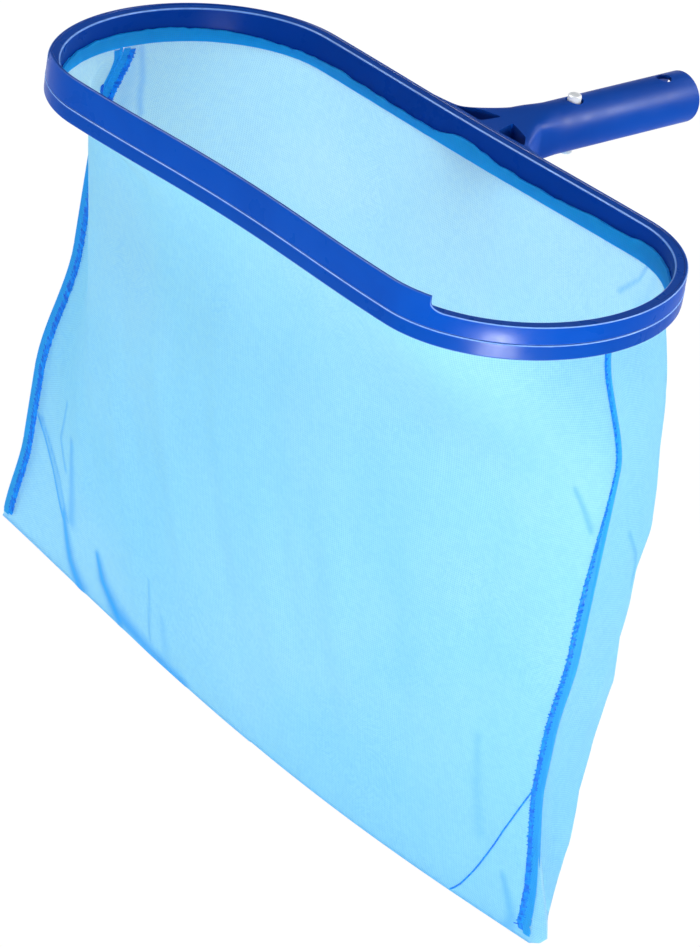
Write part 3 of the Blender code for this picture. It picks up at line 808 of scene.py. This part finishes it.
# How far the back layer swings out past the smooth bag beside the right seam: (drop, metres).
BACK_SWAY = ((0.00, 0.0), (0.08, -0.0030), (0.15, -0.0058), (0.22, -0.0030), (0.28, 0.0012),
             (0.34, 0.0040), (0.41, 0.0006), (0.48, 0.0012), (0.54, 0.0), (0.61, 0.0052),
             (0.67, 0.0038), (0.74, 0.0016), (0.80, 0.0), (0.87, 0.0050), (1.0, 0.0050))
# How far the lower right corner stands out past it, on both layers: (drop, metres).
CORNER_SWAY = ((0.84, 0.0), (0.90, 0.0045), (0.94, 0.0090), (0.975, 0.0115), (0.99, 0.0070),
               (1.0, 0.0))


def fold_strength(folds, share, drop):
    """How strongly each point of the cloth is folded, from 0 to 1."""
    u, v = share * CLOTH_WIDTH, drop * BAG_DEPTH
    total = np.zeros(np.broadcast(share, drop).shape)
    for route, (start_width, end_width), strength in folds:
        legs = len(route) - 1
        for leg, ((share_a, drop_a), (share_b, drop_b)) in enumerate(zip(route, route[1:])):
            a = np.array((share_a * CLOTH_WIDTH, drop_a * BAG_DEPTH))
            b = np.array((share_b * CLOTH_WIDTH, drop_b * BAG_DEPTH))
            along = b - a
            t = ((u - a[0]) * along[0] + (v - a[1]) * along[1]) / (along @ along)
            t = np.clip(t, 0.0, 1.0)
            distance = np.hypot(u - a[0] - t * along[0], v - a[1] - t * along[1])
            half_width = start_width + (end_width - start_width) * (leg + t) / legs
            total = np.maximum(total, strength * np.exp(-(distance / half_width) ** 2))
    return total


def wrinkles(sign, share, drop):
    """Gentle outward waves of the cloth in metres: soft vertical folds that grow towards the
    bottom, a slack cross-wave, and small creases under the hem."""
    lean = share + 0.05 * np.sin(5 * drop)
    gathers = np.sin(2 * np.pi * (7.0 * lean + 0.4 * sign)) * 0.0016
    gathers = gathers + np.sin(2 * np.pi * (17.3 * lean + 1.3 * drop)) * 0.0006
    slack = np.sin(2 * np.pi * (2.3 * drop + 1.1 * share)) * 0.0012
    creases = np.sin(2 * np.pi * (41.0 * share + 0.8 * np.sin(9 * share))) * 0.0005
    grow = smooth(drop / 0.9)
    return gathers * (0.25 + 0.75 * grow) + slack * grow + creases * np.exp(-drop / 0.035)


def cloth_point(sign, share, drop):
    """A point of the finished cloth in the row frame, and how strongly it is folded."""
    place, depth = smooth_cloth(sign, share, drop)
    fold = fold_strength(FRONT_FOLDS if sign < 0 else BACK_FOLDS, share, drop)
    fold = np.maximum(fold, 0.45 * np.exp(-((1 - drop) * BAG_DEPTH / 0.0012) ** 2))
    room = np.clip(depth / 0.030, 0.0, 1.0) * smooth(drop / 0.05)
    out = wrinkles(sign, share, drop) * room + 0.0012 * fold
    place = place + np.stack((np.zeros_like(out), sign * out, np.zeros_like(out)), axis=-1)
    place[..., 0] += share ** 12 * np.interp(drop, *zip(*CORNER_SWAY))
    if sign > 0:
        beside_seam = smooth((share - 0.76) / 0.12) * smooth((1 - share) / 0.05)
        place[..., 0] += beside_seam * np.interp(drop, *zip(*BACK_SWAY))
    return ORIGIN + place, fold


def make_net(surface):
    """One open cloth from the front of the hem down, round the bottom fold and up to the back."""
    shares = np.linspace(NET_EDGE_SHARE, 1 - NET_EDGE_SHARE, NET_COLUMNS + 1)
    down = np.linspace(0, 1, NET_ROWS + 1) ** 1.15
    up = 1 - np.linspace(0, 1, NET_ROWS + 1) ** 1.4
    front, front_fold = cloth_point(-1, shares[None, :], down[:, None])
    back, back_fold = cloth_point(1, shares[None, :], up[:, None])
    points = np.concatenate((front, back))
    folds = np.concatenate((front_fold, back_fold))
    rows = len(points)
    lengths = np.linalg.norm(np.diff(points, axis=0), axis=2)
    lengths = np.concatenate((np.zeros((1, NET_COLUMNS + 1)), np.cumsum(lengths, axis=0)))
    uv = np.stack((np.broadcast_to(shares * CLOTH_WIDTH, lengths.shape), lengths), axis=-1)
    piece = new_piece("net", points.reshape(-1, 3), grid_faces(rows, NET_COLUMNS + 1), surface,
                      sharp_angle=180.0, outward=False)
    give_attribute(piece, "fold", folds.ravel())
    give_uv(piece, uv.reshape(-1, 2))
    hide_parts("net_bag")
    return piece


def surface_frame(sign, share, drop):
    """Points of the cloth, with the outward normal at each."""
    step = 0.002
    place = cloth_point(sign, share, drop)[0]
    across = cloth_point(sign, share + step, drop)[0] - cloth_point(sign, share - step, drop)[0]
    down = cloth_point(sign, share, drop + step)[0] - cloth_point(sign, share, drop - step)[0]
    normal = np.cross(across, down) * sign
    normal /= np.linalg.norm(normal, axis=-1, keepdims=True)
    return place, normal


def seam_share(side, inward):
    """The share at a distance in from a side seam: side is -1 for left and 1 for right."""
    inward = np.maximum(inward, 0.0) / CLOTH_WIDTH + NET_EDGE_SHARE + 0.0001
    return inward if side < 0 else 1 - inward


def seam_band(side, sign, near, far, half_thickness, drops, columns=5):
    """Vertices and faces of a closed ribbon that straddles the cloth along a side seam. near and
    far are its edges' distances in from the seam, at each drop."""
    t = np.linspace(0, 1, columns)
    inward = near[:, None] * (1 - t) + far[:, None] * t
    place, normal = surface_frame(sign, seam_share(side, inward), drops[:, None])
    crown = half_thickness * (0.55 + 0.45 * np.sin(np.pi * t))[None, :, None]
    outer = place + normal * crown
    inner = (place - normal * crown)[:, ::-1]
    points = np.concatenate((outer, inner), axis=1)
    return points.reshape(-1, 3), tube_faces(len(drops), 2 * columns)


def joined(parts):
    """Several (points, faces) meshes as one."""
    points, faces = [], []
    for part_points, part_faces in parts:
        start = len(points)
        points.extend(part_points)
        faces.extend(tuple(start + i for i in face) for face in part_faces)
    return points, faces


def tube_along(route, radius, sides=5):
    """Vertices and faces of a round thread through some points."""
    points = []
    for i, here in enumerate(route):
        along = Vector(route[min(i + 1, len(route) - 1)]) - Vector(route[max(i - 1, 0)])
        turn = along.to_track_quat("Z", "Y").to_matrix()
        points += [tuple(Vector(here) + turn @ local) for local in circle(radius, sides)]
    return points, tube_faces(len(route), sides)


def seam_growth(side, drops):
    """Width of a seam's strip and overlock at each drop, as a share of the full width: the right
    seam starts as a narrow line under the hem."""
    return np.ones_like(drops) if side < 0 else 0.30 + 0.70 * smooth((drops - 0.17) / 0.25)


def seam_inset(side, drops):
    """How far in from the bag's edge a seam's strip runs: the lower right corner stands out past
    its seam."""
    return np.interp(drops, *zip(*CORNER_SWAY)) * (side > 0)


def make_seam_strip(name, side, signs, surface):
    """The doubled cloth along a seam, with the rolled edge that closes the bag."""
    drops = np.linspace(0.006, STRIP_END, 200)
    wander = np.array([noise.noise((0, side * 3.1, d * 14)) for d in drops])
    near = seam_inset(side, drops)
    far = near + SEAM_STRIP_WIDTH * (1.05 + 0.25 * wander) * seam_growth(side, drops)
    parts = [seam_band(side, sign, near, far, 0.0004, drops) for sign in signs]
    whole = np.linspace(0.0, OVERLOCK_END, 200)
    share = seam_share(side, seam_inset(side, whole))
    edge = cloth_point(-1, share, whole)[0] + np.array((0.0, NET_EDGE_HALF_GAP, 0.0))
    parts.append(tube_along(edge, ROLLED_EDGE_RADIUS, 8))
    points, faces = joined(parts)
    piece = new_piece(name, points, faces, surface)
    give_attribute(piece, "fold", np.full(len(points), 0.15))
    give_uv(piece, [(point[0], point[2]) for point in points])
    return piece


def make_overlock(name, side, sign, first_drop, surface):
    """The thread band beside the seam strip: a dense ribbon with a ragged inner edge, crossed by
    one slanted stitch after another, which show on both faces of the cloth near its top."""
    rng = np.random.default_rng(17 + 5 * side + sign)
    drops = np.linspace(first_drop, OVERLOCK_END, 330)
    strength = seam_growth(side, drops)
    ragged = rng.uniform(-0.0003, 0.0003, len(drops))
    near = SEAM_STRIP_WIDTH * strength + seam_inset(side, drops)
    far = near + (OVERLOCK_WIDTH - 0.0005) * strength + ragged * strength
    parts = [seam_band(side, sign, near, far, 0.0006, drops)]
    count = int((OVERLOCK_END - first_drop) * BAG_DEPTH / STITCH_PITCH)
    for drop in np.linspace(first_drop + 0.005, STITCHES_END, count):
        here = np.interp(drop, drops, strength)
        inset = seam_inset(side, drop)
        reach = inset + (SEAM_STRIP_WIDTH + OVERLOCK_WIDTH + rng.uniform(-0.0006, 0.0005)) * here
        start = inset + (SEAM_STRIP_WIDTH - rng.uniform(0.0002, 0.0012)) * here
        t = np.linspace(0, 1, 6)
        slant = drop + (rng.uniform(-0.0008, 0.0008) + 0.0012 * t) / BAG_DEPTH * 2
        for face in (1, -1) if drop < 0.2 else (1,):
            place, normal = surface_frame(sign, seam_share(side, start + (reach - start) * t), slant)
            lift = 0.0003 + 0.00045 * np.sin(np.pi * t) ** 0.6
            parts.append(tube_along(place + normal * (face * lift)[:, None], THREAD_RADIUS))
    points, faces = joined(parts)
    return new_piece(name, points, faces, surface)


def make_corner_stitch(surface):
    """The thread line that crosses the lower right corner from the seam to the bottom fold."""
    t = np.linspace(0, 1, 60)
    (share_a, drop_a), (share_b, drop_b) = CORNER_STITCH
    place, normal = surface_frame(-1, share_a + (share_b - share_a) * t,
                                  drop_a + (drop_b - drop_a) * t)
    beat = 0.00012 * np.sin(2 * np.pi * t * 26)
    points, faces = tube_along(place + normal * (0.0006 + beat)[:, None], 0.00050, 8)
    return new_piece("corner_stitch", points, faces, surface)


# How high the hem's top edge stands over its lower edge: (x, height) from the left end to the
# right end, alike at the front and at the back.
HEM_EDGE = ((-0.205, 0.0085), (-0.163, 0.0048), (-0.110, 0.0058), (-0.060, 0.0050),
            (-0.030, 0.0052), (-0.007, 0.0108), (0.020, 0.0070), (0.042, 0.0066), (0.075, 0.0064),
            (0.092, 0.0086), (0.120, 0.0088), (0.137, 0.0110), (0.165, 0.0100), (0.205, 0.0075))


def make_hem(surface):
    """The doubled hem inside the frame, its top edge riding up the inner wall in soft bumps."""
    path = ring_path()
    places, heights = zip(*HEM_EDGE)
    columns = 9
    points, uv, folds = [], [], []
    travelled = 0.0
    for i, (point, normal) in enumerate(zip(path, inward_normals(path))):
        travelled += (point - path[i - 1]).length if i else 0.0
        height = np.interp(point.x, places, heights)
        crumple = noise.noise((point.x * 120, point.y * 120, 4.0))
        height += 0.0008 * crumple + 0.0007 * noise.noise((point.x * 420, point.y * 420, 7.0))
        for face, inset in zip((1, -1), HEM_FACES):
            for j in range(columns):
                t = j / (columns - 1)
                t = t if face > 0 else 1 - t
                ripple = noise.noise((point.x * 260, point.y * 260, t * 2 + 9.0))
                inward = inset + 0.00028 * ripple * face + 0.0003 * t * (1 - t) * face
                place = point + normal * inward
                down = HEM_DROP + 2 * GAP - height * t
                points.append((place.x, place.y + RING_CENTRE_Y, RIM_TOP_Z - down))
                uv.append((travelled, height * t))
                folds.append(0.25 + 0.35 * max(crumple, 0.0) * t)
    faces = grid_faces(len(path), 2 * columns, close_rows=True, close_columns=True)
    piece = new_piece("hem", points, faces, surface)
    give_attribute(piece, "fold", folds)
    give_uv(piece, uv)
    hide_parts("net_hem")
    return piece


# ---- studio

def make_studio():
    """A round pale floor that curves up into a low pale wall, all of it softly glowing."""
    floor_radius, bend, wall_top, sides = 5.0, 1.0, 1.5, 64
    profile = [(2.0, 0.0), (floor_radius, 0.0)]
    for k in range(1, 9):
        angle = math.pi / 2 * k / 8
        profile.append((floor_radius + bend * math.sin(angle), bend - bend * math.cos(angle)))
    profile.append((floor_radius + bend, wall_top))
    centre = Vector((0.0, RING_CENTRE_Y, FLOOR_Z))
    points = [centre]
    for radius, height in profile:
        points += [centre + local for local in circle(radius, sides, height)]
    faces = grid_faces(len(profile), sides, close_columns=True, start=1)
    faces += [(0, 1 + j, 1 + (j + 1) % sides) for j in range(sides)]
    surface = glowing("pale_floor", FLOOR_BRIGHTNESS)
    studio = new_piece("studio_floor", points, faces, surface, body=None, outward=False)


def soft_light(name, azimuth, elevation, distance, size, brightness, rays="both", aim=ORIGIN):
    """A square softbox that faces a point, which is the ring's centre unless aim is given.
    brightness is what it adds to a white surface there that faces it, and rays says whether it
    gives "diffuse" light, "gloss" highlights or "both"."""
    data = bpy.data.lights.new(name, "AREA")
    data.shape = "SQUARE"
    data.size = size
    data.energy = brightness * math.pi ** 2 * distance ** 2
    light = new_object(name, data)
    towards = direction(azimuth, elevation)
    light.location = Vector(aim) + towards * distance
    light.rotation_euler = towards.to_track_quat("Z", "Y").to_euler()
    light.visible_camera = False
    light.visible_diffuse = rays != "gloss"
    light.visible_transmission = rays != "gloss"
    light.visible_glossy = rays != "diffuse"


def make_lights():
    """A dim sky, soft lights at the front, right and back, and four cards for the highlights."""
    world = bpy.data.worlds.new("studio_air")
    world.use_nodes = True
    sky = world.node_tree.nodes["Background"]
    sky.inputs["Color"].default_value = SKY_COLOUR
    sky.inputs["Strength"].default_value = SKY_BRIGHTNESS
    bpy.context.scene.world = world
    right_end = ORIGIN + np.array((SIDE_HALF_LENGTH + 0.05, -0.05, 0.0))
    # azimuth, elevation, distance, size, brightness
    soft_light("front_softbox", -6, -4, 1.8, 1.0, 0.29)
    soft_light("right_softbox", 62, 6, 0.60, 0.25, 0.82, rays="diffuse", aim=right_end)
    soft_light("back_softbox", 176, 14, 1.9, 1.2, 0.66)
    soft_light("end_card", 56, 8, 0.55, 0.22, 0.42, rays="gloss", aim=right_end)
    soft_light("tube_card", 137, 30, 1.7, 0.6, 6.4, rays="gloss")
    soft_light("edge_card", -50, 42, 1.6, 0.8, 12.0, rays="gloss")
    soft_light("low_card", 61, -28, 0.8, 0.18, 6.4, rays="gloss")
    bpy.context.scene.view_settings.view_transform = "Standard"


# ---- the object

def main():
    make_camera()
    blue = plastic("blue_moulding")
    make_upper_frame(blue)
    make_clamp_ring(plastic("blue_clamp", CLAMP_BLUES))
    make_handle(plastic("blue_handle", roughness=(0.34, 0.46)))

    white = white_plastic("white_button")
    make_button("snap_button_upper", "clip_button_upper", "upper_leg", 1, white)
    make_button("snap_button_lower", "clip_button_lower", "lower_leg", -1, white)
    steel = spring_steel("spring_strip")
    for node in ("spring_clip_bow", "spring_clip_leg_upper", "spring_clip_leg_lower"):
        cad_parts[node].material_slots[0].material = steel
    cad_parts["hem_cord"].material_slots[0].material = twisted_cord("cord_lay")

    net = make_net(net_cloth("net_weave", NET_BLUES, opacity=0.88))
    hem_cloth = net_cloth("hem_weave", HEM_BLUES, opacity=0.95)
    strip_cloth = net_cloth("seam_cloth", STRIP_BLUES, opacity=0.95)
    band = thread("overlock_thread")
    details = [make_hem(hem_cloth)]
    for side, label, signs in ((-1, "left", (-1, 1)), (1, "right", (-1,))):
        strip = make_seam_strip("seam_strip_" + label, side, signs, strip_cloth)
        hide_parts("side_seam_" + label)
        details.append(strip)
    details += [make_overlock("overlock_front_left", -1, -1, 0.08, band),
                make_overlock("overlock_back_left", -1, 1, 0.010, band),
                make_overlock("overlock_front_right", 1, -1, 0.010, band),
                make_corner_stitch(band)]

    make_studio()
    make_lights()


main()
